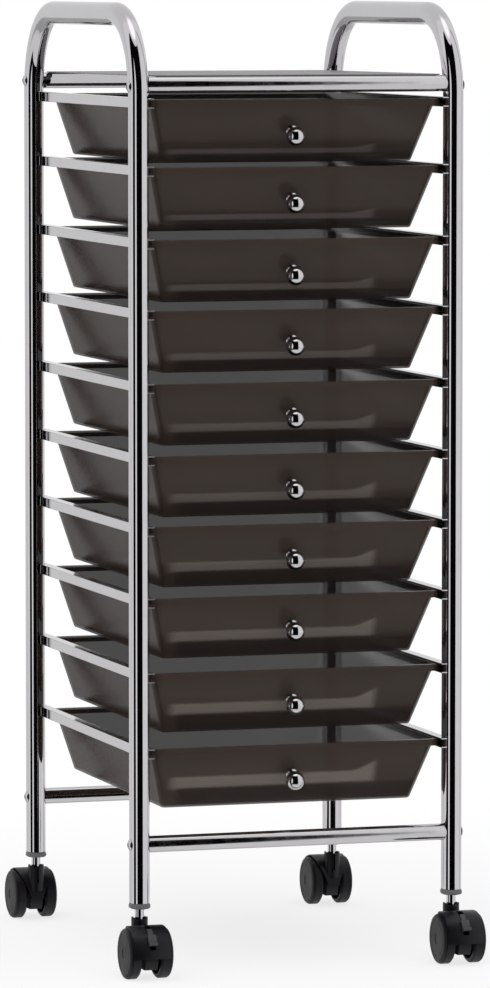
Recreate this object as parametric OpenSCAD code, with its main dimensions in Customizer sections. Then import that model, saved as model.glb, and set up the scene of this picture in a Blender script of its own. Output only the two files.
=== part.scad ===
// Rolling tower of ten shallow drawers in a frame of plated oval tube.
// Millimetres. X runs across, the knobs face -Y, Z is up and z = 0 is the floor.
// Each side frame is one tube bent into an upside-down U, whose top is the handle.
// The drawers hang by their rims in channel rails, and twin-wheel casters carry it.

/* [Frame] */
// Distance between the centre lines of the left and right posts
post_span = 316.4; // [300:0.2:360]
// Distance between the centre lines of the front and rear posts
post_depth = 372; // [350:1:420]
// Height of the handles above the floor
cart_height = 931; // [925:1:980]
// Height of the posts' open lower ends
post_end_z = 70; // [66:0.5:74]
// Width of the oval side tube, across the cart
tube_across = 18.5; // [16:0.5:20]
// Width of the oval side tube in the plane of its bends
tube_along = 22.5; // [21:0.5:26]
// Wall of the side tube
tube_wall = 1.2; // [0.8:0.1:2]
// Radius of the handle's bends at the tube's centre line
bend_radius = 77; // [60:1:90]

/* [Crossbars] */
// Diameter of the four round crossbars
bar_dia = 16; // [12:0.5:18]
// Wall of the crossbars
bar_wall = 1; // [0.8:0.1:1.5]
// Height of the upper crossbars' axes
top_bar_z = 851.3; // [845:0.1:860]
// Height of the lower crossbars' axes
bottom_bar_z = 126.3; // [110:0.1:140]
// Length of the threaded plug welded into each end of a crossbar
plug_len = 18; // [12:1:30]
// Diameter of the crossbar bolts
bolt_dia = 5; // [4:0.5:6]
// Diameter of the bolts' domed heads
bolt_head_dia = 11.5; // [9:0.5:14]
// Height of the bolts' domed heads
bolt_head_h = 2.6; // [2:0.1:4]
// Thickness of the sheet that lies on the upper crossbars
panel_t = 1; // [0.6:0.1:2]
// Half the width of that sheet
panel_half_w = 146; // [120:1:148]

/* [Rails] */
// Height of the top rail's lower edge
first_rail_z = 830.6; // [828:0.1:832]
// Drop from each rail to the next, from the top down
rail_gaps = [64.5, 69, 67.7, 70, 69, 67.7, 68.8, 71.7, 73]; // each [64:0.1:74]
// Height of a rail
rail_h = 9.5; // [9:0.1:10]
// Depth of a rail's channel, across the cart
rail_w = 10; // [8:0.5:12]
// Thickness of the rails' sheet
rail_t = 1.2; // [0.8:0.1:1.4]
// Distance from the cart's middle to the rails' open side
rail_inner_x = 145; // [144.6:0.1:146]

/* [Drawers] */
// Height of a drawer from its bottom to its rim
drawer_h = 60.8; // [56:0.1:61.5]
// Half the width of a drawer's bottom
drawer_half_w = 126.4; // [124:0.2:126.6]
// Where the bottom ends at the front
drawer_front_y = -155; // [-158:1:-146]
// Where the bottom ends at the rear
drawer_back_y = 157; // [150:1:162]
// Outward lean of the front wall, per millimetre of height
front_lean = 0.45; // [0.3:0.01:0.46]
// Outward lean of the side walls, per millimetre of height
side_lean = 0.3; // [0.25:0.01:0.3]
// Outward lean of the back wall, per millimetre of height
back_lean = 0.22; // [0.1:0.01:0.3]
// Corner radius at the bottom
corner_r_low = 5; // [5:0.5:12]
// Corner radius at the rim
corner_r_high = 9; // [8:0.5:20]
// Thickness of the drawers' walls
drawer_wall = 1.8; // [1.2:0.1:2.4]
// Width of the rim outside the walls
rim_w = 3.6; // [3:0.1:3.8]
// Height of the rim's turned-down skirt
rim_h = 6.5; // [5:0.1:6.6]

/* [Knobs] */
// Diameter of a knob's ball
knob_dia = 18.3; // [14:0.1:22]
// Distance from the drawer's wall to the centre of the ball
knob_reach = 14.3; // [13:0.1:18]
// Height of the knob's screw above the drawer's bottom
knob_z = 31; // [26:0.5:34]
// Diameter of the knob's screw
screw_dia = 4; // [3:0.5:5]

/* [Casters] */
// Diameter of the wheels
wheel_dia = 49; // [46:0.5:50]
// Width across the outer faces of a caster's two wheels
wheel_pair_w = 43.6; // [42:0.2:46]
// Gap between the hubs of those two wheels
wheel_gap = 13.8; // [12:0.2:14]
// Distance from the swivel axis to the wheels' axle
caster_offset = 20; // [18:0.5:22]
// Height of the top of the hood's collar
collar_z = 56.3; // [55:0.1:58]
// Diameter of the hood's collar
collar_dia = 16; // [15:0.5:18]
// Diameter of the stem
stem_dia = 9; // [8:0.5:10]
// Diameter of the wheels' axle
axle_dia = 5; // [4:0.5:6]

/* [Hidden] */
$fn = 48;
drawer_count = 10;
half_span = post_span / 2;
half_depth = post_depth / 2;
top_axis_z = cart_height - tube_along / 2;
bend_z = top_axis_z - bend_radius;
post_inner_x = half_span - tube_across / 2;
post_outer_x = half_span + tube_across / 2;
// The upper bars meet the posts just inside the bends, where the tube leans in a little
top_bar_rise = max(0, top_bar_z - bend_z);
top_bar_y = half_depth - (bend_radius - sqrt(bend_radius * bend_radius - top_bar_rise * top_bar_rise));
fit_gap = 0.05;
rim_gap = 0.3;
thread_gap = 0.02;
panel_z = top_bar_z + bar_dia / 2;
rail_end_y = half_depth + 8;
// Rim of the drawer above the rail's lower edge, clear of the channel's upper lip
rim_above_rail = rail_h - rail_t - rim_gap;
front_tilt = atan(front_lean);
corner_steps = 5;
wheel_r = wheel_dia / 2;
wheel_in = wheel_gap / 2;
wheel_out = wheel_pair_w / 2;
hood_in_r = wheel_r + 0.6;
hood_out_r = hood_in_r + 1.5;
hood_half_w = wheel_out - 3.4;
web_half_w = wheel_in - 0.6;
stem_foot_z = 34;
stem_shoulder_z = 45;
stem_foot_dia = stem_dia - 2;
stem_top_z = 100;
socket_flange_h = 5;
socket_len = 34;
lever_pivot_r = 20;
lever_pivot_a = 66;
lever_w = 5;
lever_pad_w = 8;

chrome = [0.80, 0.81, 0.83];
smoke = [0.24, 0.22, 0.21, 0.9];
black = [0.12, 0.12, 0.13];
grey = [0.5, 0.49, 0.5];

// Sum of the first n gaps between rails
function drop_to(n) = n == 0 ? 0 : rail_gaps[n - 1] + drop_to(n - 1);
// Lower edge of rail i, and bottom of drawer i, counted from 1 at the top
function rail_z(i) = first_rail_z - drop_to(i - 1);
function drawer_z(i) = rail_z(i) + rim_above_rail - drawer_h;

// ---- Side frames ----

// Outline of the oval tube, long along Y; grow is a distance outside its surface
module tube_outline(grow = 0) {
    r = tube_across / 2 + grow;
    flat = tube_along - tube_across;
    square([2 * r, flat], center = true);
    for (s = [-1, 1]) translate([0, s * flat / 2]) circle(r = r);
}

module tube_ring() {
    difference() {
        tube_outline();
        tube_outline(-tube_wall);
    }
}

// Runs a tube section up the front post, over the handle and down the rear post
module side_sweep() {
    handle_len = post_depth - 2 * bend_radius;
    for (s = [0, 1]) mirror([0, s, 0]) {
        translate([0, half_depth, post_end_z]) linear_extrude(bend_z - post_end_z) children();
        translate([0, half_depth - bend_radius, bend_z]) rotate([90, 0, 90])
            rotate_extrude(angle = 90) translate([bend_radius, 0]) rotate(90) children();
    }
    translate([0, handle_len / 2, top_axis_z]) rotate([90, 0, 0])
        linear_extrude(handle_len) children();
}

// Holes for the crossbar bolts, through both walls of both posts
module post_bolt_holes() {
    for (s = [-1, 1]) {
        translate([0, s * top_bar_y, top_bar_z]) rotate([0, 90, 0])
            cylinder(d = bolt_dia + 0.4, h = 2 * tube_across, center = true);
        translate([0, s * half_depth, bottom_bar_z]) rotate([0, 90, 0])
            cylinder(d = bolt_dia + 0.4, h = 2 * tube_across, center = true);
    }
}

// side is -1 for the left frame and 1 for the right
module side_tube(side) {
    color(chrome) translate([side * half_span, 0, 0]) difference() {
        side_sweep() tube_ring();
        post_bolt_holes();
    }
}

// Straight lengths of solid post, which the ends of rails and bars are coped to
module post_solids(z, h) {
    for (sx = [-1, 1], sy = [-1, 1]) translate([sx * half_span, sy * half_depth, z])
        linear_extrude(h) tube_outline();
}

// ---- Drawer rails ----

// Channel section, open towards the cart's middle; x is measured outwards from the middle
module rail_section() {
    difference() {
        translate([rail_inner_x, 0]) square([rail_w, rail_h]);
        translate([rail_inner_x - 1, rail_t]) square([rail_w - rail_t + 1, rail_h - 2 * rail_t]);
    }
}

module rails(side) {
    mirrored = side < 0 ? 1 : 0;
    color(chrome) for (i = [1 : drawer_count]) difference() {
        mirror([mirrored, 0, 0]) translate([0, rail_end_y, rail_z(i)]) rotate([90, 0, 0])
            linear_extrude(2 * rail_end_y) rail_section();
        post_solids(rail_z(i) - 1, rail_h + 2);
    }
}

// ---- Crossbars, top sheet and bolts ----

// Round bar between the posts, with a threaded plug welded into each end
module crossbar_blank() {
    reach = post_inner_x + 4;
    rotate([0, 90, 0]) difference() {
        cylinder(d = bar_dia, h = 2 * reach, center = true);
        cylinder(d = bar_dia - 2 * bar_wall, h = 2 * (post_inner_x - plug_len), center = true);
        cylinder(d = bolt_dia + 2 * thread_gap, h = 2 * reach + 1, center = true);
    }
}

// row is -1 for the front and 1 for the rear
module top_crossbar(row) {
    color(chrome) difference() {
        translate([0, row * top_bar_y, top_bar_z]) crossbar_blank();
        for (side = [-1, 1]) translate([side * half_span, 0, 0]) side_sweep() tube_outline();
    }
}

module bottom_crossbar(row) {
    color(chrome) difference() {
        translate([0, row * half_depth, bottom_bar_z]) crossbar_blank();
        post_solids(bottom_bar_z - bar_dia, 2 * bar_dia);
    }
}

// Thin sheet resting on the upper bars, with clipped corners
module top_panel() {
    clip = 6;
    y = top_bar_y + 2;
    color([0.62, 0.62, 0.64]) translate([0, 0, panel_z]) linear_extrude(panel_t) polygon([
        [-panel_half_w, clip - y], [clip - panel_half_w, -y],
        [panel_half_w - clip, -y], [panel_half_w, clip - y],
        [panel_half_w, y - clip], [panel_half_w - clip, y],
        [clip - panel_half_w, y], [-panel_half_w, y - clip]]);
}

// Bolt with a domed head and a hexagon socket; its shank runs along -Z from the head's seat
module crossbar_bolt() {
    dome_r = (pow(bolt_head_dia / 2, 2) + pow(bolt_head_h, 2)) / (2 * bolt_head_h);
    shank = tube_across + 12;
    difference() {
        union() {
            rotate_extrude() intersection() {
                translate([0, bolt_head_h - dome_r]) circle(r = dome_r);
                square([bolt_head_dia, bolt_head_h]);
            }
            translate([0, 0, -shank]) cylinder(d = bolt_dia, h = shank + 0.5);
        }
        translate([0, 0, bolt_head_h - 1.6]) cylinder(d = 4.6, h = 3, $fn = 6);
    }
}

module crossbar_bolts() {
    color(chrome) for (sx = [0, 1], sy = [-1, 1]) mirror([sx, 0, 0]) {
        translate([post_outer_x, sy * top_bar_y, top_bar_z]) rotate([0, 90, 0]) crossbar_bolt();
        translate([post_outer_x, sy * half_depth, bottom_bar_z]) rotate([0, 90, 0]) crossbar_bolt();
    }
}

// ---- Drawers ----

// One level of the drawer: a rounded rectangle at height z, whose size and lean are
// taken at height zref, moved outwards by off. Corners run counter-clockwise.
function drawer_loop(z, zref, off) =
    let (
        x = drawer_half_w + side_lean * zref + off,
        front = drawer_front_y - front_lean * zref - off,
        back = drawer_back_y + back_lean * zref + off,
        r = corner_r_low + (corner_r_high - corner_r_low) * zref / drawer_h + off,
        centres = [[x - r, back - r], [r - x, back - r], [r - x, front + r], [x - r, front + r]]
    )
    [for (c = [0 : 3], k = [0 : corner_steps])
        let (a = 90 * (c + k / corner_steps))
        [centres[c][0] + r * cos(a), centres[c][1] + r * sin(a), z]];

// Levels up the outside, over the rim with its turned-down skirt, and down the inside
module drawer_shell() {
    round_out = 2;
    round_in = 2;
    part = 1 - cos(45);
    top = drawer_h;
    skirt_t = 1.8;
    under_rim = top - 2;
    levels = [
        [0, 0, -round_out],
        [part * round_out, 0, -part * round_out],
        [round_out, round_out, 0],
        [under_rim, under_rim, 0],
        [under_rim, top, rim_w - skirt_t],
        [top - rim_h, top, rim_w - skirt_t],
        [top - rim_h, top, rim_w],
        [top - 0.7, top, rim_w],
        [top, top, rim_w - 0.7],
        [top, top, -drawer_wall],
        [drawer_wall + round_in, drawer_wall + round_in, -drawer_wall],
        [drawer_wall + part * round_in, drawer_wall, -drawer_wall - part * round_in],
        [drawer_wall, drawer_wall, -drawer_wall - round_in]
    ];
    n = 4 * (corner_steps + 1);
    last = len(levels) - 1;
    points = [for (v = levels) each drawer_loop(v[0], v[1], v[2])];
    bands = [for (k = [0 : last - 1], j = [0 : n - 1])
        let (m = (j + 1) % n) [(k + 1) * n + j, (k + 1) * n + m, k * n + m, k * n + j]];
    bottom = [for (j = [0 : n - 1]) j];
    floor_face = [for (j = [n - 1 : -1 : 0]) last * n + j];
    polyhedron(points, concat([bottom], bands, [floor_face]));
}

// Puts a child on the outside of a drawer's front wall, its Z axis square to the wall
module on_front_wall(i) {
    translate([0, drawer_front_y - front_lean * knob_z, drawer_z(i) + knob_z])
        rotate([90 + front_tilt, 0, 0]) children();
}

module drawer(i) {
    color(smoke) difference() {
        translate([0, 0, drawer_z(i)]) drawer_shell();
        on_front_wall(i) cylinder(d = screw_dia + 0.4, h = 8, center = true);
    }
}

// ---- Knobs and their screws ----

// Ball on a waisted neck and a small round foot
module knob(i) {
    foot_r = 5.6;
    neck_r = 3.6;
    waist_r = 2.2;
    color(chrome) on_front_wall(i) difference() {
        rotate_extrude() {
            intersection() {
                translate([0, knob_reach]) circle(d = knob_dia);
                translate([0, 0]) square([knob_dia, knob_reach + knob_dia]);
            }
            difference() {
                polygon([[0, 0], [foot_r, 0], [foot_r, 1.2], [neck_r + waist_r, 1.2 + 0.3],
                         [neck_r + waist_r, 6.6], [0, 6.6]]);
                translate([neck_r + waist_r, 1.2 + 0.3 + waist_r]) circle(r = waist_r);
                translate([neck_r, 1.2 + 0.3 + waist_r]) square([waist_r + 1, 6]);
            }
        }
        translate([0, 0, -1]) cylinder(d = screw_dia + 2 * thread_gap, h = 10);
    }
}

// Pan-head screw through the wall from inside the drawer
module knob_screw(i) {
    wall = drawer_wall * cos(front_tilt);
    head_r = 4;
    head_h = 2.4;
    dome_r = (head_r * head_r + head_h * head_h) / (2 * head_h);
    color(chrome) on_front_wall(i) difference() {
        union() {
            translate([0, 0, -wall]) mirror([0, 0, 1]) rotate_extrude() intersection() {
                translate([0, head_h - dome_r]) circle(r = dome_r);
                square([head_r, head_h]);
            }
            translate([0, 0, -wall - 0.5]) cylinder(d = screw_dia, h = wall + 8.5);
        }
        for (a = [0, 90]) rotate(a) translate([-2, -0.5, -wall - head_h - 0.1]) cube([4, 1, 1.5]);
    }
}

// ---- Casters ----

// Moves children to a corner; a rear caster is turned about so that it trails backwards
module at_corner(side, row) {
    translate([side * half_span, row * half_depth, 0]) rotate(row < 0 ? 0 : 180) children();
}

// Plastic plug in a post's end, with a collar below the end and a bore for the stem
module post_socket() {
    foot_z = post_end_z - socket_flange_h;
    difference() {
        union() {
            translate([0, 0, foot_z]) linear_extrude(socket_flange_h) tube_outline();
            translate([0, 0, foot_z + 0.6]) linear_extrude(socket_flange_h - 1.8) tube_outline(0.4);
            translate([0, 0, post_end_z - 1]) linear_extrude(socket_len)
                tube_outline(-tube_wall - fit_gap);
        }
        cylinder(d = stem_dia + 2 * thread_gap, h = 2 * post_end_z);
    }
}

module post_sockets() {
    color(grey) for (side = [-1, 1], row = [-1, 1]) at_corner(side, row) post_socket();
}

// Stem with a grip groove and a pointed top, turned down where the hood swivels on it
module caster_stem() {
    r = stem_dia / 2;
    foot = stem_foot_dia / 2;
    rotate_extrude() polygon([
        [0, stem_foot_z], [foot - 0.5, stem_foot_z], [foot, stem_foot_z + 0.5],
        [foot, stem_shoulder_z], [r, stem_shoulder_z], [r, stem_top_z - 12],
        [r - 0.8, stem_top_z - 11], [r - 0.8, stem_top_z - 7], [r, stem_top_z - 6],
        [r, stem_top_z - 3], [r - 2, stem_top_z], [0, stem_top_z]]);
}

module caster_stems() {
    color(chrome) for (side = [-1, 1], row = [-1, 1]) at_corner(side, row) caster_stem();
}

// Turns a shape about Z into one about the wheels' axle
module on_axle() {
    translate([0, -caster_offset, wheel_r]) rotate([0, 90, 0]) children();
}

// Wedge of the hood between two angles above the horizontal, on the trailing side
module hood_wedge(r, a0, a1, width) {
    steps = [a0 : (a1 - a0) / 4 : a1];
    translate([-width / 2, -caster_offset, wheel_r]) rotate([90, 0, 90]) linear_extrude(width)
        polygon(concat([[0, 0]], [for (a = steps) [-r * cos(a), r * sin(a)]]));
}

// Cover over both wheels with bevelled ends. It comes down to rim_z on the trailing side
// and stops on a slant at the stem's side, where the treads stay bare.
module hood_cover(rim_z) {
    bevel = 1.6;
    difference() {
        on_axle() rotate_extrude() polygon([
            [0, -hood_half_w], [hood_out_r - bevel / 2, -hood_half_w],
            [hood_out_r, bevel - hood_half_w], [hood_out_r, hood_half_w - bevel],
            [hood_out_r - bevel / 2, hood_half_w], [0, hood_half_w]]);
        translate([-50, -100, rim_z - 100]) cube([100, 200, 100]);
        for (s = [0, 1]) mirror([s, 0, 0]) translate([0, 30, 0]) rotate([90, 0, 0])
            linear_extrude(30 + caster_offset)
                polygon([[web_half_w, 0], [50, 0], [50, 53], [hood_half_w, 53], [web_half_w, 25]]);
    }
}

// Hood, with a web between the wheels that carries the axle and a split boss for the stem.
// braked hoods have a slot for the lever in their trailing side.
module caster_hood(braked) {
    web_z = 10.5;
    notch_h = 1.6;
    color(black) difference() {
        union() {
            hood_cover(22);
            intersection() {
                on_axle() cylinder(r = wheel_r - 1.5, h = 2 * web_half_w, center = true);
                translate([-50, -100, web_z]) cube([100, 200, 30]);
            }
            translate([0, 0, stem_foot_z - 4])
                cylinder(d = collar_dia, h = collar_z - stem_foot_z + 4);
        }
        for (s = [0, 1]) mirror([s, 0, 0]) on_axle() translate([0, 0, web_half_w])
            cylinder(r = hood_in_r, h = 40);
        on_axle() cylinder(d = axle_dia + 2 * thread_gap, h = 40, center = true);
        translate([0, 0, stem_foot_z - 0.5])
            cylinder(d = stem_foot_dia + 2 * fit_gap, h = collar_z);
        translate([0, 0, stem_shoulder_z - 0.2])
            cylinder(d = stem_dia + 2 * fit_gap, h = collar_z);
        // Shallow cup at the top, notched front and rear, and the slit in the boss
        translate([0, 0, collar_z - notch_h - 0.6]) cylinder(d = collar_dia - 4, h = 4);
        translate([-5, -collar_dia, collar_z - notch_h]) cube([10, 2 * collar_dia, 4]);
        translate([-0.8, 0, stem_foot_z + 4]) cube([1.6, collar_dia, collar_z]);
        if (braked) lever_slot();
    }
}

module lever_slot() {
    difference() {
        hood_wedge(hood_out_r + 5, 14, 84, lever_w + 0.8);
        on_axle() cylinder(r = lever_pivot_r - 4, h = 20, center = true);
    }
    lever_pivot(lever_w + 4 + 0.4, 3 + 2 * fit_gap);
}

module lever_pivot(length, dia) {
    translate([0, -caster_offset - lever_pivot_r * cos(lever_pivot_a),
               wheel_r + lever_pivot_r * sin(lever_pivot_a)])
        rotate([0, 90, 0]) cylinder(d = dia, h = length, center = true);
}

// Lever on its own trunnions, with a ledged pad for the toe outside the hood
module brake_lever() {
    pad_in_r = hood_out_r + 0.5;
    pad_out_r = pad_in_r + 2.4;
    color(grey) {
        difference() {
            union() {
                hood_wedge(pad_in_r + 0.5, 24, 64, lever_w);
                lever_pivot(lever_w, 6.4);
            }
            on_axle() cylinder(r = lever_pivot_r - 1.5, h = 20, center = true);
            hood_wedge(hood_out_r - 2.6, 22, 50, 20);
        }
        lever_pivot(lever_w + 4, 3);
        difference() {
            union() {
                hood_wedge(pad_out_r, 22, 44, lever_pad_w);
                hood_wedge(pad_out_r + 2.6, 22, 27, lever_pad_w);
            }
            on_axle() cylinder(r = pad_in_r, h = 20, center = true);
        }
    }
}

module wheel_axle() {
    color(chrome) on_axle() cylinder(d = axle_dia, h = 2 * (wheel_out - 3), center = true);
}

// Wheel: a disc with a bevelled tread and a hub, hollow towards the web
module wheel(side) {
    bore_r = axle_dia / 2 + fit_gap;
    hub_r = 6;
    rim_r = wheel_r - 4;
    rim_in = wheel_in + 2.6;
    skin = wheel_out - 4;
    groove = wheel_out - 3.2;
    color(black) mirror([side < 0 ? 1 : 0, 0, 0]) on_axle() rotate_extrude() polygon([
        [bore_r, wheel_in + 0.4], [hub_r, wheel_in + 0.4], [hub_r, skin], [rim_r, skin],
        [rim_r, rim_in], [wheel_r - 2, rim_in],
        [wheel_r, rim_in + 1.8], [wheel_r, groove],
        [wheel_r - 0.6, groove + 0.2], [wheel_r - 0.6, groove + 0.5],
        [wheel_r - 0.1, groove + 0.7], [wheel_r - 1.2, wheel_out - 0.9],
        [wheel_r - 3.2, wheel_out], [5.5, wheel_out], [5, wheel_out - 0.5],
        [0, wheel_out - 0.5], [0, wheel_out - 2.6], [bore_r, wheel_out - 2.6]]);
}

side_tube(-1);  // left_side_tube
side_tube(1);  // right_side_tube
rails(-1);  // left_rails
rails(1);  // right_rails
top_crossbar(-1);  // top_front_crossbar
top_crossbar(1);  // top_rear_crossbar
bottom_crossbar(-1);  // bottom_front_crossbar
bottom_crossbar(1);  // bottom_rear_crossbar
top_panel();
crossbar_bolts();
post_sockets();
caster_stems();
drawer(1);  // drawer_1
drawer(2);  // drawer_2
drawer(3);  // drawer_3
drawer(4);  // drawer_4
drawer(5);  // drawer_5
drawer(6);  // drawer_6
drawer(7);  // drawer_7
drawer(8);  // drawer_8
drawer(9);  // drawer_9
drawer(10);  // drawer_10
knob(1);  // knob_1
knob(2);  // knob_2
knob(3);  // knob_3
knob(4);  // knob_4
knob(5);  // knob_5
knob(6);  // knob_6
knob(7);  // knob_7
knob(8);  // knob_8
knob(9);  // knob_9
knob(10);  // knob_10
knob_screw(1);  // knob_screw_1
knob_screw(2);  // knob_screw_2
knob_screw(3);  // knob_screw_3
knob_screw(4);  // knob_screw_4
knob_screw(5);  // knob_screw_5
knob_screw(6);  // knob_screw_6
knob_screw(7);  // knob_screw_7
knob_screw(8);  // knob_screw_8
knob_screw(9);  // knob_screw_9
knob_screw(10);  // knob_screw_10
at_corner(-1, -1) caster_hood(true);  // front_left_hood
at_corner(1, -1) caster_hood(true);  // front_right_hood
at_corner(-1, 1) caster_hood(false);  // rear_left_hood
at_corner(1, 1) caster_hood(false);  // rear_right_hood
at_corner(-1, -1) wheel_axle();  // front_left_axle
at_corner(1, -1) wheel_axle();  // front_right_axle
at_corner(-1, 1) wheel_axle();  // rear_left_axle
at_corner(1, 1) wheel_axle();  // rear_right_axle
at_corner(-1, -1) wheel(-1);  // front_left_outer_wheel
at_corner(-1, -1) wheel(1);  // front_left_inner_wheel
at_corner(1, -1) wheel(1);  // front_right_outer_wheel
at_corner(1, -1) wheel(-1);  // front_right_inner_wheel
at_corner(-1, 1) wheel(1);  // rear_left_outer_wheel
at_corner(-1, 1) wheel(-1);  // rear_left_inner_wheel
at_corner(1, 1) wheel(-1);  // rear_right_outer_wheel
at_corner(1, 1) wheel(1);  // rear_right_inner_wheel
at_corner(-1, -1) brake_lever();  // front_left_brake_lever
at_corner(1, -1) brake_lever();  // front_right_brake_lever
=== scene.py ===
import math

import bmesh
import bpy
import numpy as np
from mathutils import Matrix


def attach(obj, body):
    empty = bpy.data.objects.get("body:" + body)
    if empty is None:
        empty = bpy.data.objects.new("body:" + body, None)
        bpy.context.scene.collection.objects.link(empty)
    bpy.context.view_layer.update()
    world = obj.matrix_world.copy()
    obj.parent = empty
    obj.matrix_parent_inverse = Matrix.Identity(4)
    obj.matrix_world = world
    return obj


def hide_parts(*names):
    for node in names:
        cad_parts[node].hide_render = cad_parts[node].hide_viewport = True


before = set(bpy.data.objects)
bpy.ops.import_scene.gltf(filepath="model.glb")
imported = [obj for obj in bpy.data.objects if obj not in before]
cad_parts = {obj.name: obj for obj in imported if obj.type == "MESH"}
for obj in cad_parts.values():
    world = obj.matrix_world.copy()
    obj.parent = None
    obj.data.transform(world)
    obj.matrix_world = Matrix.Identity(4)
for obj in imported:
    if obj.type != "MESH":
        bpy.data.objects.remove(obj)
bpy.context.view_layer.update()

# ---- Side tubes ----
# Each side of the cart is one length of flat-oval steel tube, 18.5 by 22.5 mm with a 1.2 mm
# wall, bent cold into an upside-down U whose top is the handle. It is plated with nickel and
# chromium after bending, so it mirrors the studio with the faint ripple of drawn tube.
MM = 0.001
TUBE_ACROSS, TUBE_ALONG = 18.5, 22.5
TUBE_R, HALF_FLAT = TUBE_ACROSS / 2, (TUBE_ALONG - TUBE_ACROSS) / 2
POST_X, POST_Y, POST_END_Z = 158.2, 186.0, 70.0
BEND_RADIUS, HANDLE_TOP_Z = 77.0, 931.0
HANDLE_AXIS_Z = HANDLE_TOP_Z - TUBE_ALONG / 2
BEND_Z = HANDLE_AXIS_Z - BEND_RADIUS
SIDES = {"left": -1, "right": 1}


def linear(code):
    """The linear RGBA of an sRGB hex colour such as '#C8C8CA'."""
    srgb = np.array([int(code[i:i + 2], 16) for i in (1, 3, 5)]) / 255
    flat = np.where(srgb <= 0.04045, srgb / 12.92, ((srgb + 0.055) / 1.055) ** 2.4)
    return (*flat.tolist(), 1.0)


def add(tree, kind, settings=None, wires=None):
    """Adds one shader node. settings gives its properties and its sockets' values by name or
    number, and wires links its sockets to other nodes' outputs."""
    made = tree.nodes.new("ShaderNode" + kind)
    for key, value in (settings or {}).items():
        if isinstance(key, str) and hasattr(made, key):
            setattr(made, key, value)
        else:
            made.inputs[key].default_value = value
    for key, source in (wires or {}).items():
        tree.links.new(source, made.inputs[key])
    return made


def new_finish(name, **sockets):
    """A material with one Principled shader, whose given sockets are set. Gives back the
    material, its node tree and the shader."""
    finish = bpy.data.materials.new(name)
    finish.use_nodes = True
    tree = finish.node_tree
    shader = next(n for n in tree.nodes if n.type == "BSDF_PRINCIPLED")
    for key, value in sockets.items():
        shader.inputs[key.replace("_", " ")].default_value = value
    return finish, tree, shader


def chromium_plate(name, ripple, stretch, rough):
    """Chromium over nickel on steel: a cold, nearly neutral mirror. ripple is the length in mm
    of the metal's shallow waves, stretch is how far they are drawn out along X, Y and Z, and
    rough the least and most roughness, which wanders with handling in patches of 17 mm."""
    finish, tree, shader = new_finish(name, Metallic=1.0)
    place = add(tree, "TexCoord").outputs["Object"]
    drawn = add(tree, "Mapping", {"Scale": stretch}, {"Vector": place}).outputs["Vector"]
    waves = add(tree, "TexNoise", {"Scale": 1000 / ripple, "Detail": 1.0}, {"Vector": drawn})
    haze = add(tree, "TexNoise", {"Scale": 60.0, "Detail": 5.0, "Roughness": 0.6},
               {"Vector": place})
    tint = add(tree, "Mix", {"data_type": "RGBA", 6: linear("#CBC9CB"), 7: linear("#C1BFC2")},
               {0: haze.outputs["Fac"]})
    span = add(tree, "MapRange", {"From Min": 0.35, "From Max": 0.7, "To Min": rough[0],
                                  "To Max": rough[1]}, {"Value": haze.outputs["Fac"]})
    bump = add(tree, "Bump", {"Strength": 1.0, "Distance": 0.012 * MM},
               {"Height": waves.outputs["Fac"]})
    tree.links.new(tint.outputs[2], shader.inputs["Base Color"])
    tree.links.new(span.outputs["Result"], shader.inputs["Roughness"])
    tree.links.new(bump.outputs["Normal"], shader.inputs["Normal"])
    return finish


def finish_piece(name, mesh, material, body, nodes, crease):
    """Makes a mesh a smooth piece that rides on a body and stands for CAD nodes. Edges sharper
    than crease, in degrees, stay sharp."""
    mesh.materials.append(material)
    mesh.shade_smooth()
    mesh.set_sharp_from_angle(angle=math.radians(crease))
    piece = bpy.data.objects.new(name, mesh)
    bpy.context.scene.collection.objects.link(piece)
    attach(piece, body)
    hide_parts(*nodes)
    return piece


def skin(name, stacks, material, body, nodes, crease=32):
    """Joins stacks of closed rings, each an array [ring, point, xyz] in mm, into closed
    surfaces. A stack's first and last rings are capped, and rings without size are poles."""
    points, faces, start = [], [], 0
    for rings in stacks:
        count, around = rings.shape[:2]
        index = start + np.arange(count * around).reshape(count, around)
        ahead = np.roll(index, -1, axis=1)
        quads = np.stack([index[:-1], ahead[:-1], ahead[1:], index[1:]], axis=-1)
        faces += quads.reshape(-1, 4).tolist() + [index[0, ::-1].tolist(), index[-1].tolist()]
        points.append(rings.reshape(-1, 3))
        start += count * around
    mesh = bpy.data.meshes.new(name)
    mesh.from_pydata((np.concatenate(points) * MM).tolist(), [], faces)
    shell = bmesh.new()
    shell.from_mesh(mesh)
    bmesh.ops.remove_doubles(shell, verts=shell.verts, dist=0.002 * MM)
    bmesh.ops.recalc_face_normals(shell, faces=shell.faces)
    shell.to_mesh(mesh)
    shell.free()
    piece = finish_piece(name, mesh, material, body, nodes, crease)
    piece.modifiers.new("flat faces stay flat", "WEIGHTED_NORMAL").keep_sharp = True
    return piece


def oval(grow=0.0, steps=64):
    """Outline of the flat-oval tube in (u, v), grown outwards by grow, which may be one number
    or one for each step: a circle whose two halves are moved apart along v."""
    t = (np.arange(steps) + 0.5) * 2 * np.pi / steps
    radius = TUBE_R + grow
    return np.stack([radius * np.cos(t), radius * np.sin(t) + np.sign(np.sin(t)) * HALF_FLAT],
                    axis=-1)


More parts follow.
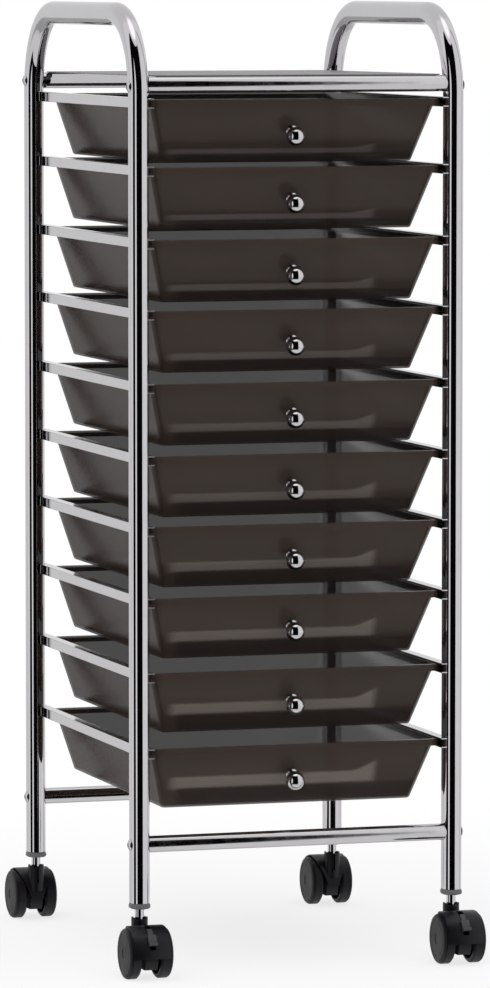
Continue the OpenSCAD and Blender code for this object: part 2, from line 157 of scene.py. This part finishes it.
def side_tube_rings(x):
    """The oval carried up the front leg, round both bends and down the rear leg. At each
    station u lies along X and v along the path's outward normal. The sawn ends are broken."""
    broken_edge, next_to_bend = 0.35, 4.0
    leg_z = np.array([POST_END_Z, POST_END_Z + broken_edge, 300.0, 600.0, BEND_Z - next_to_bend])
    turn = np.radians(np.linspace(0, 90, 33))
    reach = POST_Y - BEND_RADIUS
    half_y = np.concatenate([np.full(leg_z.size, -POST_Y), -reach - BEND_RADIUS * np.cos(turn),
                             [next_to_bend - reach]])
    half_z = np.concatenate([leg_z, BEND_Z + BEND_RADIUS * np.sin(turn), [HANDLE_AXIS_Z]])
    out_y = np.concatenate([np.full(leg_z.size, -1.0), -np.cos(turn), [0.0]])
    out_z = np.concatenate([np.zeros(leg_z.size), np.sin(turn), [1.0]])
    y = np.concatenate([half_y, -half_y[::-1]])
    z = np.concatenate([half_z, half_z[::-1]])
    normal_y = np.concatenate([out_y, -out_y[::-1]])
    normal_z = np.concatenate([out_z, out_z[::-1]])
    outline = np.repeat(oval()[None], y.size, axis=0)
    outline[[0, -1]] = oval(-broken_edge)
    return np.stack([x + outline[..., 0], y[:, None] + outline[..., 1] * normal_y[:, None],
                     z[:, None] + outline[..., 1] * normal_z[:, None]], axis=-1)


tube_chrome = chromium_plate("chromium_plated_drawn_tube", ripple=26.0,
                             stretch=(1.0, 0.5, 0.35), rough=(0.035, 0.075))
for side, sign in SIDES.items():
    skin(side + "_handle_tube", [side_tube_rings(sign * POST_X)], tube_chrome, "frame",
         [side + "_side_tube"])

# ---- Crossbars ----
# Four round 16 mm steel tubes hold the two sides apart. Their ends are coped to sit on the
# oval posts, and each end is pulled up tight by a bolt that runs through the post. They are
# plated like the side tubes. The upper front bar hangs a touch higher than in the solids.
BAR_R, JOINT_GAP, FRONT_BAR_LIFT = 8.0, 0.12, 1.9
BARS = {"top_front_crossbar": (-185.3, 851.3 + FRONT_BAR_LIFT),
        "top_rear_crossbar": (185.5, 851.3),
        "bottom_front_crossbar": (-186.0, 126.3), "bottom_rear_crossbar": (186.0, 126.3)}


def crossbar_rings(y, z, steps=56):
    """A tube along X. Its length varies round the tube with the post's oval, whose surface
    lies at half the span less the height of the oval's arc."""
    t = np.arange(steps) * 2 * np.pi / steps
    around_y = y + BAR_R * np.cos(t)
    past_flat = np.maximum(np.abs(np.abs(around_y) - POST_Y) - HALF_FLAT, 0)
    end = POST_X - np.sqrt(TUBE_R ** 2 - past_flat ** 2) - JOINT_GAP
    half_length, broken_edge = 150.0, 0.3
    inset = np.array([0.0, broken_edge, 3.0]) / half_length
    share = np.concatenate([inset - 1, [0], (1 - inset)[::-1]])
    grow = np.zeros(share.size)
    grow[[0, -1]] = -broken_edge
    radius = BAR_R + grow[:, None]
    return np.stack([share[:, None] * end, y + radius * np.cos(t), z + radius * np.sin(t)],
                    axis=-1)


for node, (y, z) in BARS.items():
    skin(node + "_tube", [crossbar_rings(y, z)], tube_chrome, "frame", [node])

# ---- Bolts, rails and top sheet ----
# The bolts are plated button heads with a hexagon socket. The rails are channels folded from
# 1.2 mm sheet, with rounded folds and notched ends that lie on the posts, plated with them.
# The top is a thin steel sheet in grey paint that rests on the upper crossbars.


def dressed(name, node, material, body, edge, crease=32):
    """A piece that takes over a CAD node's own shape: its triangles are merged into one
    surface, faces in one plane are joined, and its edges are broken by edge mm."""
    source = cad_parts[node].data
    place = np.empty(len(source.vertices) * 3)
    source.vertices.foreach_get("co", place)
    corner = np.empty(len(source.loops), dtype=np.int32)
    source.loops.foreach_get("vertex_index", corner)
    mesh = bpy.data.meshes.new(name)
    mesh.from_pydata(place.reshape(-1, 3).tolist(), [], corner.reshape(-1, 3).tolist())
    shell = bmesh.new()
    shell.from_mesh(mesh)
    bmesh.ops.remove_doubles(shell, verts=shell.verts, dist=0.004 * MM)
    bmesh.ops.dissolve_limit(shell, angle_limit=math.radians(0.3), verts=shell.verts,
                             edges=shell.edges)
    shell.to_mesh(mesh)
    shell.free()
    piece = finish_piece(name, mesh, material, body, [node], crease)
    bevel = piece.modifiers.new("broken edges", "BEVEL")
    bevel.width = edge * MM
    bevel.segments = 3
    bevel.limit_method = "ANGLE"
    bevel.angle_limit = math.radians(crease)
    bevel.harden_normals = True
    return piece


sheet_chrome = chromium_plate("chromium_plated_folded_sheet", ripple=18.0,
                              stretch=(1.0, 0.2, 1.0), rough=(0.05, 0.11))
fitting_chrome = chromium_plate("chromium_plated_turned_parts", ripple=9.0,
                                stretch=(1.0, 1.0, 1.0), rough=(0.03, 0.06))
dressed("crossbar_bolt_heads", "crossbar_bolts", fitting_chrome, "frame",
        edge=0.2)
for side in SIDES:
    dressed(side + "_channel_rails", side + "_rails", sheet_chrome, "frame",
            edge=0.45)

# Stoved paint gives a soft grey sheen. Its orange peel is drawn at 1.4 mm, because the real
# one of about 0.3 mm is too fine to show.
panel_paint, tree, shader = new_finish("grey_stoved_paint", Roughness=0.42,
                                       Specular_IOR_Level=0.3)
place = add(tree, "TexCoord").outputs["Object"]
peel = add(tree, "TexNoise", {"Scale": 700.0, "Detail": 2.0}, {"Vector": place})
cloud = add(tree, "TexNoise", {"Scale": 14.0, "Detail": 3.0}, {"Vector": place})
tint = add(tree, "Mix", {"data_type": "RGBA", 6: linear("#757375"), 7: linear("#7E7C7E")},
           {0: cloud.outputs["Fac"]})
bump = add(tree, "Bump", {"Strength": 0.35, "Distance": 0.02 * MM},
           {"Height": peel.outputs["Fac"]})
tree.links.new(tint.outputs[2], shader.inputs["Base Color"])
tree.links.new(bump.outputs["Normal"], shader.inputs["Normal"])
top_sheet = dressed("top_sheet", "top_panel", panel_paint, "frame", edge=0.25)

# The sheet lies on the bars: its front edge is lifted with the front bar, its rear edge stays
place = np.empty(len(top_sheet.data.vertices) * 3)
top_sheet.data.vertices.foreach_get("co", place)
place = place.reshape(-1, 3)
rear_y, front_y = place[:, 1].max(), place[:, 1].min()
place[:, 2] += FRONT_BAR_LIFT * MM * (rear_y - place[:, 1]) / (rear_y - front_y)
top_sheet.data.vertices.foreach_set("co", place.ravel())

# ---- Drawers ----
# Ten shallow trays moulded in smoked polystyrene, 1.8 mm thick, with walls that lean out all
# round so that they draw from the mould, a flat rim with a turned-down skirt that rides in the
# rails, and polished faces. The plastic is a brown-black that lets a little light through.
DRAWER_H, WALL, RIM_W, RIM_H, SKIRT = 60.8, 1.8, 3.6, 6.5, 1.8
BOTTOM_HALF_W, FRONT_Y, BACK_Y = 126.4, -155.0, 157.0
SIDE_LEAN, FRONT_LEAN, BACK_LEAN = 0.3, 0.45, 0.22
CORNER_LOW, CORNER_HIGH, EDGE_R = 5.0, 9.0, 2.0
RAIL_GAPS = [64.5, 69.0, 67.7, 70.0, 69.0, 67.7, 68.8, 71.7, 73.0]
FIRST_RAIL_Z, RIM_ABOVE_RAIL = 830.6, 8.0
RAIL_Z = FIRST_RAIL_Z - np.concatenate([[0], np.cumsum(RAIL_GAPS)])
DRAWER_Z = RAIL_Z + RIM_ABOVE_RAIL - DRAWER_H
# Heights in mm of the band of light painted on the front, on the highest and on the lowest tray
BAND_FOOT, BAND_HEAD = (8.5, 19.0), (13.5, 31.5)


def eased(corners, trim, steps=5):
    """Rounds the inner corners of a line of points: a corner becomes a parabola that leaves
    the line trim before it and joins it again trim after it."""
    c = np.asarray(corners, float)
    back, on = c[:-2] - c[1:-1], c[2:] - c[1:-1]
    size = [np.linalg.norm(v, axis=1, keepdims=True) for v in (back, on)]
    trim = np.broadcast_to(trim, (len(c) - 2,))[:, None]
    back = back / size[0] * np.minimum(trim, 0.45 * size[0])
    on = on / size[1] * np.minimum(trim, 0.45 * size[1])
    s = np.linspace(0, 1, steps)[None, :, None]
    curve = c[1:-1, None] + (1 - s) ** 2 * back[:, None] + s ** 2 * on[:, None]
    return np.concatenate([c[:1], curve.reshape(-1, c.shape[1]), c[-1:]])


def drawer_rings(base_z, corner_steps=12):
    """Rounded rectangles stacked along the drawer's section. Each level has a height, the
    height at which the walls' lean is taken, and a distance outside the wall."""
    top, under, middle = DRAWER_H, DRAWER_H - 2.0, -9
    quarter = np.radians(np.linspace(0, 90, 7))
    rise, pull = EDGE_R - EDGE_R * np.cos(quarter), EDGE_R * np.sin(quarter) - EDGE_R
    outside = np.stack([rise, rise, pull], axis=1)
    inside = np.stack([WALL + rise, WALL + rise, pull - WALL], axis=1)[::-1]
    rim = eased([[under - 6, under - 6, 0], [under, under, 0], [under, top, RIM_W - SKIRT],
                 [top - RIM_H, top, RIM_W - SKIRT], [top - RIM_H, top, RIM_W], [top, top, RIM_W],
                 [top, top, -WALL], [top - 6, top - 6, -WALL]],
                trim=[0.5, 0.5, 0.4, 0.4, 1.1, 0.7])
    levels = np.concatenate([[[0, 0, middle]], outside, rim, inside, [[WALL, WALL, middle]]])
    z, lean_z, off = (levels[:, k][:, None] for k in range(3))
    half_x = BOTTOM_HALF_W + SIDE_LEAN * lean_z + off
    front = FRONT_Y - FRONT_LEAN * lean_z - off
    back = BACK_Y + BACK_LEAN * lean_z + off
    corner = CORNER_LOW + (CORNER_HIGH - CORNER_LOW) * lean_z / DRAWER_H + off
    radius = np.maximum(corner, 0.3)
    sweep = np.linspace(0, 90, corner_steps)
    angle = np.radians(np.concatenate([90 * q + sweep for q in range(4)]))
    east = np.repeat([1, -1, -1, 1], corner_steps)
    north = np.repeat([1, 1, -1, -1], corner_steps)
    x = east * (half_x - radius) + radius * np.cos(angle)
    y = np.where(north > 0, back - radius, front + radius) + radius * np.sin(angle)
    return np.stack([x, y, base_z + np.broadcast_to(z, x.shape)], axis=-1)


def mark_front(mesh, base_z):
    """Stores two numbers on each point of a tray. front is 1 on the front wall's outside and
    falls to 0 over 3 mm behind it. band runs from 0 to 1 over the strip of the front wall on
    which a band of light is painted, which is wider the lower the tray hangs."""
    place = np.empty(len(mesh.vertices) * 3)
    mesh.vertices.foreach_get("co", place)
    _, y, z = place.reshape(-1, 3).T / MM
    height = z - base_z
    behind = y - (FRONT_Y - FRONT_LEAN * height)
    drop = (DRAWER_Z[0] - base_z) / (DRAWER_Z[0] - DRAWER_Z[-1])
    foot, head = (high + (low - high) * drop for high, low in (BAND_FOOT, BAND_HEAD))
    marks = {"front": np.clip(1 - behind / 3, 0, 1), "band": (height - foot) / (head - foot)}
    for name, values in marks.items():
        mesh.attributes.new(name, "FLOAT", "POINT").data.foreach_set("value", values)


def mask(tree, *ramps, times=None):
    """The product of smooth ramps, and of times where it is given. A ramp is (value, a, b):
    it is 0 where the value is at a or beyond it, and 1 where it is at b or beyond it."""
    result = times
    for value, zero_at, one_at in ramps:
        falls = zero_at > one_at
        low, high = sorted((zero_at, one_at))
        ramp = add(tree, "MapRange", {"interpolation_type": "SMOOTHSTEP", "From Min": low,
                                      "From Max": high, "To Min": float(falls),
                                      "To Max": float(not falls)}, {"Value": value})
        if result is None:
            result = ramp.outputs["Result"]
        else:
            result = add(tree, "Math", {"operation": "MULTIPLY"},
                         {0: result, 1: ramp.outputs["Result"]}).outputs["Value"]
    return result


# Moulded polystyrene gives a deep brown-black gloss. Its own shine is kept low, as through a
# polarising filter, and faint flow lines 110 mm long run level with the floor.
smoked, tree, shader = new_finish("smoked_polystyrene_moulding", IOR=1.57,
                                  Specular_IOR_Level=0.14, Alpha=0.74)
place = add(tree, "TexCoord").outputs["Object"]
split = add(tree, "SeparateXYZ", None, {"Vector": place})
across, above = split.outputs["X"], split.outputs["Z"]
front = add(tree, "Attribute", {"attribute_name": "front"}).outputs["Fac"]
band = add(tree, "Attribute", {"attribute_name": "band"}).outputs["Fac"]
drawn = add(tree, "Mapping", {"Scale": (1.0, 1.0, 9.0)}, {"Vector": place}).outputs["Vector"]
flow = add(tree, "TexNoise", {"Scale": 9.0, "Detail": 3.0, "Roughness": 0.5},
           {"Vector": drawn})
scuff = add(tree, "TexNoise", {"Scale": 260.0, "Detail": 4.0}, {"Vector": place})
body = add(tree, "Mix", {"data_type": "RGBA", 6: linear("#372E29"), 7: linear("#433831")},
           {0: flow.outputs["Fac"]})
walls = add(tree, "Mix", {"data_type": "RGBA", 6: linear("#34261E")},
            {0: front, 7: body.outputs[2]})
# A band of light is painted on the front wall: its head rises and ends at the right, and shade
# is painted on its foot and on the wall below it. The painted light is paler on the lower trays.
flare = mask(tree, (across, 0.060, 0.096))
raised = add(tree, "Math", {"operation": "MULTIPLY_ADD", 1: -1.0}, {0: flare, 2: band})
painted_light = mask(tree, (band, -0.2, 0.2), (raised.outputs["Value"], 1.1, 0.8),
           (across, -0.128, -0.114), (across, 0.090, 0.080), times=front)
painted_shade = mask(tree, (band, 0.2, -0.2), (across, -0.118, -0.108), times=front)
# Colour of the painted light, from the lowest trays to the highest
glow = add(tree, "Mix", {"data_type": "RGBA", 6: linear("#736A64"), 7: linear("#5B5450")},
           {0: mask(tree, (above, 0.1, 0.8))})
with_painted_light = add(tree, "Mix", {"data_type": "RGBA"},
            {0: painted_light, 6: walls.outputs[2], 7: glow.outputs[2]})
# Painted shade on the band's foot and on the front wall below it
tint = add(tree, "Mix", {"data_type": "RGBA", 7: linear("#2E2623")},
           {0: painted_shade, 6: with_painted_light.outputs[2]})
gloss = add(tree, "MapRange", {"From Min": 0.3, "From Max": 0.75, "To Min": 0.16,
                               "To Max": 0.22}, {"Value": scuff.outputs["Fac"]})
bump = add(tree, "Bump", {"Strength": 0.3, "Distance": 0.03 * MM},
           {"Height": flow.outputs["Fac"]})
tree.links.new(tint.outputs[2], shader.inputs["Base Color"])
tree.links.new(gloss.outputs["Result"], shader.inputs["Roughness"])
tree.links.new(bump.outputs["Normal"], shader.inputs["Normal"])
for i, base_z in enumerate(DRAWER_Z, 1):
    tray = skin(f"tray_{i}", [drawer_rings(base_z)], smoked, f"drawer_unit_{i}",
                [f"drawer_{i}"])
    mark_front(tray.data, base_z)

# ---- Knobs and screws ----
# Round knobs, turned and chromium plated: a small foot, a waisted neck and an 18.3 mm ball. A
# zinc-plated pan-head screw holds each one from inside the tray, square to the leaning front
# wall.
KNOB_R, KNOB_REACH, KNOB_Z = 18.3 / 2, 14.3, 31.0
FOOT_R, NECK_R, HOLLOW_R, HOLLOW_AT = 5.6, 3.6, 2.2, (5.8, 3.7)
FRONT_TILT = math.atan(FRONT_LEAN)


def lathe(profile, origin, axis, steps=48):
    """Turns a profile of (radius, height) about an axis: ring points are origin plus height
    along the axis and radius round it."""
    axis = np.asarray(axis, float) / np.linalg.norm(axis)
    across = np.cross(axis, [1, 0, 0] if abs(axis[0]) < 0.9 else [0, 1, 0])
    across /= np.linalg.norm(across)
    side = np.cross(axis, across)
    t = np.arange(steps) * 2 * np.pi / steps
    radial = np.cos(t)[:, None] * across + np.sin(t)[:, None] * side
    profile = np.asarray(profile, float)
    return np.asarray(origin) + profile[:, :1, None] * radial + profile[:, 1:, None] * axis


def knob_profile():
    """Foot, hollow neck and ball. The neck is an arc about HOLLOW_AT that meets the ball."""
    hollow = np.radians(np.linspace(262, 180, 9))
    neck = np.array(HOLLOW_AT) + HOLLOW_R * np.stack([np.cos(hollow), np.sin(hollow)], axis=1)
    polar = np.linspace(math.asin(NECK_R / KNOB_R), math.pi, 30)
    ball = np.stack([KNOB_R * np.sin(polar), KNOB_REACH - KNOB_R * np.cos(polar)], axis=1)
    foot = [[0, 0], [FOOT_R - 0.25, 0], [FOOT_R, 0.25], [FOOT_R, 1.2]]
    return np.concatenate([foot, neck, ball])


for i, base_z in enumerate(DRAWER_Z, 1):
    wall_point = (0.0, FRONT_Y - FRONT_LEAN * KNOB_Z, base_z + KNOB_Z)
    outward = (0.0, -math.cos(FRONT_TILT), -math.sin(FRONT_TILT))
    skin(f"ball_knob_{i}", [lathe(knob_profile(), wall_point, outward)], fitting_chrome,
         f"drawer_unit_{i}", [f"knob_{i}"])

# Barrel-plated zinc gives a dull blue-grey silver with a spangle of about 1 mm
zinc, tree, shader = new_finish("zinc_plated_steel", Metallic=1.0)
place = add(tree, "TexCoord").outputs["Object"]
spangle = add(tree, "TexNoise", {"Scale": 900.0, "Detail": 3.0}, {"Vector": place})
tint = add(tree, "Mix", {"data_type": "RGBA", 6: linear("#B4B6BA"), 7: linear("#9EA0A6")},
           {0: spangle.outputs["Fac"]})
dull = add(tree, "MapRange", {"To Min": 0.16, "To Max": 0.34}, {"Value": spangle.outputs["Fac"]})
tree.links.new(tint.outputs[2], shader.inputs["Base Color"])
tree.links.new(dull.outputs["Result"], shader.inputs["Roughness"])
for i in range(1, 11):
    dressed(f"knob_fixing_{i}", f"knob_screw_{i}", zinc, f"drawer_unit_{i}",
            edge=0.15)

# ---- Post sockets and caster stems ----
# A grey polyamide plug is pressed into the end of each post. Its collar carries fine upright
# ribs that grip in the hand when it is knocked in. The caster's bright plated stem snaps into
# its bore.
CORNERS = {"front_left": (-1, -1), "front_right": (1, -1), "rear_left": (-1, 1),
           "rear_right": (1, 1)}
RIBS, RIB_DEPTH, COLLAR = 42, 0.28, 0.4


def moulded_plastic(name, dark, light, rough, grain, shine):
    """Injection-moulded polyamide, dull with broad soft lights: two close tints drift over a
    spark-eroded grain 0.03 mm deep. grain is its size in mm, coarser than the real 0.1 mm one,
    which would not show. shine is how much it mirrors, 0.5 for plain polyamide."""
    finish, tree, shader = new_finish(name, IOR=1.5, Specular_IOR_Level=shine)
    place = add(tree, "TexCoord").outputs["Object"]
    drift = add(tree, "TexNoise", {"Scale": 45.0, "Detail": 3.0}, {"Vector": place})
    pits = add(tree, "TexNoise", {"Scale": 1000 / grain, "Detail": 2.0}, {"Vector": place})
    tint = add(tree, "Mix", {"data_type": "RGBA", 6: linear(dark), 7: linear(light)},
               {0: drift.outputs["Fac"]})
    span = add(tree, "MapRange", {"From Min": 0.3, "From Max": 0.7, "To Min": rough[0],
                                  "To Max": rough[1]}, {"Value": drift.outputs["Fac"]})
    bump = add(tree, "Bump", {"Strength": 0.6, "Distance": 0.03 * MM},
               {"Height": pits.outputs["Fac"]})
    tree.links.new(tint.outputs[2], shader.inputs["Base Color"])
    tree.links.new(span.outputs["Result"], shader.inputs["Roughness"])
    tree.links.new(bump.outputs["Normal"], shader.inputs["Normal"])
    return finish


def socket_rings(x, y, steps=252):
    """The oval collar with upright ribs: its outline is grown by a wave of RIBS crests."""
    t = (np.arange(steps) + 0.5) * 2 * np.pi / steps
    rib = RIB_DEPTH * (0.5 + 0.5 * np.cos(RIBS * t))
    z = np.array([65.0, 65.5, 65.9, 68.6, 69.0, POST_END_Z])
    plain = np.array([-COLLAR, COLLAR / 2, COLLAR, COLLAR, 0.0, 0.0])[:, None]
    ribbed = np.array([0, 0, 1, 1, 0, 0])[:, None]
    rings = np.empty((z.size, steps, 3))
    rings[..., :2] = oval(plain + ribbed * rib, steps) + (x, y)
    rings[..., 2] = z[:, None]
    return rings


grey_plastic = moulded_plastic("grey_polyamide", "#5A595C", "#6A696C", rough=(0.4, 0.5),
                               grain=0.5, shine=0.5)
skin("ribbed_sockets", [socket_rings(sx * POST_X, sy * POST_Y) for sx, sy in CORNERS.values()],
     grey_plastic, "frame", ["post_sockets"])

STEM_PROFILE = eased([[0, 34], [3.5, 34], [3.5, 45], [4.5, 45], [4.5, 88], [3.7, 89], [3.7, 93],
                      [4.5, 94], [4.5, 97], [2.5, 100], [0, 100]], trim=0.3, steps=3)
skin("snap_in_stems", [lathe(STEM_PROFILE, (sx * POST_X, sy * POST_Y, 0), (0, 0, 1), steps=32)
                       for sx, sy in CORNERS.values()],
     fitting_chrome, "frame", ["caster_stems"])

# ---- Caster hoods, axles and brake levers ----
# Each hood is one black polyamide moulding: a cover over both wheels, a web between them and
# a split boss for the stem. The front pair has a charcoal lever let into the cover's slot, and
# a zinc-plated pin carries each pair of wheels.
black_plastic = moulded_plastic("black_polyamide_hood", "#0D0B0F", "#141216", rough=(0.3, 0.42),
                                grain=0.5, shine=0.24)
lever_plastic = moulded_plastic("charcoal_polyamide_lever", "#38373A", "#444346",
                                rough=(0.4, 0.5), grain=0.5, shine=0.3)
for corner in CORNERS:
    swivel = corner + "_swivel"
    dressed(corner + "_wheel_cover", corner + "_hood", black_plastic, swivel,
            edge=0.4)
    dressed(corner + "_axle_pin", corner + "_axle", zinc, swivel, edge=0.3)
    if corner.startswith("front"):
        dressed(corner + "_foot_lever", corner + "_brake_lever", lever_plastic,
                corner + "_brake", edge=0.4)

# ---- Wheels ----
# Twin wheels moulded in black polyamide, one each side of the web: a flat outer disc with a
# fine turned ring, a groove at the shoulder, a plain tread and a hollow back with a hub.
WHEEL_R, WHEEL_IN, WHEEL_OUT, TRAIL = 24.5, 6.9, 21.8, 20.0
HUB_R, BORE_WALL_R = 6, 20.5


def wheel_profile():
    """Half section of a wheel from the hub's inner end, round the rim to the disc's middle."""
    hub_end, back, rim_in, groove = WHEEL_IN + 0.4, WHEEL_OUT - 4, WHEEL_IN + 2.6, WHEEL_OUT - 3.2
    hub = [[0, hub_end], [HUB_R, hub_end], [HUB_R, back], [BORE_WALL_R, back]]
    rim = [[BORE_WALL_R, rim_in], [22.5, rim_in], [WHEEL_R, rim_in + 1.8], [WHEEL_R, groove],
           [WHEEL_R - 0.6, groove + 0.2], [WHEEL_R - 0.6, groove + 0.5],
           [WHEEL_R - 0.1, groove + 0.7], [WHEEL_R - 1.2, WHEEL_OUT - 0.9],
           [WHEEL_R - 3.2, WHEEL_OUT]]
    disc = [[18.4, WHEEL_OUT], [18.1, WHEEL_OUT - 0.25], [17.6, WHEEL_OUT - 0.25],
            [17.3, WHEEL_OUT - 0.05], [5.5, WHEEL_OUT], [5.0, WHEEL_OUT - 0.5],
            [0, WHEEL_OUT - 0.5]]
    return eased(hub + rim + disc, trim=0.35, steps=4)


wheel_plastic = moulded_plastic("black_polyamide_wheel", "#0E0C10", "#151317", rough=(0.38, 0.5),
                                grain=0.6, shine=0.24)
for corner, (sx, sy) in CORNERS.items():
    hub = (sx * POST_X, sy * (POST_Y + TRAIL), WHEEL_R)
    for place, side in (("outer", sx), ("inner", -sx)):
        skin(f"{corner}_{place}_roller", [lathe(wheel_profile(), hub, (side, 0, 0), steps=72)],
             wheel_plastic, f"{corner}_{place}_roller", [f"{corner}_{place}_wheel"])

# ---- Studio ----
# A plain white floor that runs out into white light, one wide soft lamp for the floor's
# shadow, and a white room. What shines also sees the dark side of the room behind the camera
# and the edges of its screens, which draw the black lines along the plated tubes.
FLOOR_REACH = 40.0


def stage_piece(name, finish_name, points, faces):
    """A mesh that belongs to the studio, with an empty material. Gives back the object and the
    material's node tree."""
    mesh = bpy.data.meshes.new(name)
    mesh.from_pydata(points, [], faces)
    piece = bpy.data.objects.new(name, mesh)
    bpy.context.scene.collection.objects.link(piece)
    finish = bpy.data.materials.new(finish_name)
    finish.use_nodes = True
    finish.node_tree.nodes.clear()
    mesh.materials.append(finish)
    return piece, finish.node_tree


# White paper, which glows more the farther it is from the cart, so that it has no far edge
floor_points = [(-FLOOR_REACH, -FLOOR_REACH, 0), (FLOOR_REACH, -FLOOR_REACH, 0),
                (FLOOR_REACH, FLOOR_REACH, 0), (-FLOOR_REACH, FLOOR_REACH, 0)]
floor, tree = stage_piece("floor", "white_paper_floor", floor_points, [(0, 1, 2, 3)])
floor.visible_glossy = False
place = add(tree, "TexCoord").outputs["Object"]
away = add(tree, "VectorMath", {"operation": "LENGTH"}, {0: place})
fade = add(tree, "MapRange", {"interpolation_type": "SMOOTHSTEP", "From Min": 0.45,
                              "From Max": 1.2, "To Min": 0.76, "To Max": 1.0},
           {"Value": away.outputs["Value"]})
matt = add(tree, "BsdfDiffuse", {"Color": linear("#FCFCFC")})
glow = add(tree, "Emission", {"Color": linear("#FFFFFF"), "Strength": 1.0})
mix = add(tree, "MixShader", None, {0: fade.outputs["Result"], 1: matt.outputs["BSDF"],
                                    2: glow.outputs["Emission"]})
add(tree, "OutputMaterial", None, {"Surface": mix.outputs["Shader"]})

# A white card folded lengthwise stands under the top sheet, before the rear bar. Only what
# shines sees it, and it keeps that bar bright.
card_fold = np.array([(168.0, 839.5), (168.0, 858.8), (181.0, 858.8)]) * MM
card_points = [(x, y, z) for y, z in card_fold for x in (-140 * MM, 140 * MM)]
card, tree = stage_piece("white_card", "white_card", card_points, [(0, 1, 3, 2), (2, 3, 5, 4)])
card.visible_camera = card.visible_diffuse = False
card.visible_shadow = card.visible_transmission = False
glow = add(tree, "Emission", {"Color": linear("#FFFFFF"), "Strength": 0.88})
add(tree, "OutputMaterial", None, {"Surface": glow.outputs["Emission"]})

world = bpy.data.worlds.new("white_room")
bpy.context.scene.world = world
world.use_nodes = True
tree = world.node_tree
tree.nodes.clear()
# Each direction's bearing, from the front towards the right, and its height, both in degrees
sight = add(tree, "TexCoord").outputs["Generated"]
part = add(tree, "SeparateXYZ", None, {"Vector": sight})
toward = add(tree, "Math", {"operation": "MULTIPLY", 1: -1.0}, {0: part.outputs["Y"]})
turn = add(tree, "Math", {"operation": "ARCTAN2"},
           {0: part.outputs["X"], 1: toward.outputs["Value"]})
bearing = add(tree, "Math", {"operation": "DEGREES"}, {0: turn.outputs["Value"]}).outputs["Value"]
lift = add(tree, "Math", {"operation": "ARCSINE"}, {0: part.outputs["Z"]})
height = add(tree, "Math", {"operation": "DEGREES"}, {0: lift.outputs["Value"]}).outputs["Value"]
# How far to the side a direction in front lies, in degrees, a little more the higher or lower
# it points; what lies behind is put out of reach
side_lift = add(tree, "Math", {"operation": "ARCSINE"}, {0: part.outputs["X"]})
sideways = add(tree, "Math", {"operation": "DEGREES"}, {0: side_lift.outputs["Value"]})
behind = add(tree, "Math", {"operation": "GREATER_THAN", 1: 0.0}, {0: part.outputs["Y"]})
off_level = add(tree, "Math", {"operation": "SUBTRACT", 1: 8.0}, {0: height}).outputs["Value"]
bow = add(tree, "Math", {"operation": "MULTIPLY"}, {0: off_level, 1: off_level})
bowed = add(tree, "Math", {"operation": "MULTIPLY_ADD", 1: 0.0012},
            {0: bow.outputs["Value"], 2: sideways.outputs["Value"]})
across = add(tree, "Math", {"operation": "MULTIPLY_ADD", 1: 400.0},
             {0: behind.outputs["Value"], 2: bowed.outputs["Value"]}).outputs["Value"]
# Each screen: the angle it is measured by, that angle from and to, height from and to, how
# softly it ends, and its brightness. A later one stands before an earlier one.
SCREENS = [
    (bearing, -200, 200, -100, -10, 3.0, 0.9),     # the room's floor
    (bearing, -200, -130, -100, 65, 3.0, 0.82),    # the wall behind the cart, on its left
    (bearing, 130, 200, -100, 65, 3.0, 0.82),      # and on its right
    (bearing, -200, -140, -60, -9.5, 2.0, 0.47),   # that wall's grey foot, on the left
    (bearing, 145, 200, -60, -11, 2.0, 0.62),      # and on the right
    (bearing, -95, -65, -40, 60, 1.5, 0.002),      # a black screen on the left
    (bearing, 91, 98, -30, 60, 2.0, 0.25),         # a grey screen's edge on the right
    (bearing, -64, -47, -40, 60, 1.5, 1.05),       # a white screen, left of the camera
    (across, -47, 18.6, -40, 62, 0.4, 0.002),      # the dark side of the room
    (bearing, -200, 200, 72, 100, 4.0, 1.7),       # the lit ceiling
]
level = None
for angle, low, high, foot, head, soft, bright in SCREENS:
    inside = mask(tree, (angle, low - soft, low + soft), (angle, high + soft, high - soft),
                  (height, foot - soft, foot + soft), (height, head + soft, head - soft))
    step = add(tree, "Mix", {"data_type": "FLOAT", 2: 1.0, 3: bright}, {0: inside})
    if level is not None:
        tree.links.new(level, step.inputs[2])
    level = step.outputs[0]
rays = add(tree, "LightPath")
mirror = add(tree, "Background", {"Color": linear("#FFFFFF")}, {"Strength": level})
white = add(tree, "Background", {"Color": linear("#FFFFFF"), "Strength": 1.0})
soft_light = add(tree, "Background", {"Color": linear("#FFFFFF"), "Strength": 0.62})
seen = add(tree, "Math", {"operation": "MAXIMUM"},
           {0: rays.outputs["Is Camera Ray"], 1: rays.outputs["Is Transmission Ray"]})
plain = add(tree, "MixShader", None, {0: seen.outputs["Value"],
                                      1: soft_light.outputs["Background"],
                                      2: white.outputs["Background"]})
shown = add(tree, "MixShader", None, {0: rays.outputs["Is Glossy Ray"],
                                      1: plain.outputs["Shader"],
                                      2: mirror.outputs["Background"]})
add(tree, "OutputWorld", None, {"Surface": shown.outputs["Shader"]})

lamp = bpy.data.lights.new("soft_overhead", "SUN")
lamp.energy = 1.25
lamp.angle = math.radians(75)
lamp_object = bpy.data.objects.new("soft_overhead", lamp)
lamp_object.rotation_euler = (math.radians(24), math.radians(-14), 0)
lamp_object.visible_glossy = False
bpy.context.scene.collection.objects.link(lamp_object)

# A long lens from the cart's front left, a little above its top
camera = bpy.data.cameras.new("camera")
camera.lens, camera.sensor_width = 228.79, 36.0
camera.clip_end = 200.0
camera_object = bpy.data.objects.new("camera", camera)
camera_object.location = (-1.84478, -5.91401, 0.95951)
camera_object.rotation_euler = (math.radians(90 - 4.749), 0, math.radians(-17.378))
bpy.context.scene.collection.objects.link(camera_object)
bpy.context.scene.camera = camera_object
bpy.context.scene.view_settings.view_transform = "Standard"
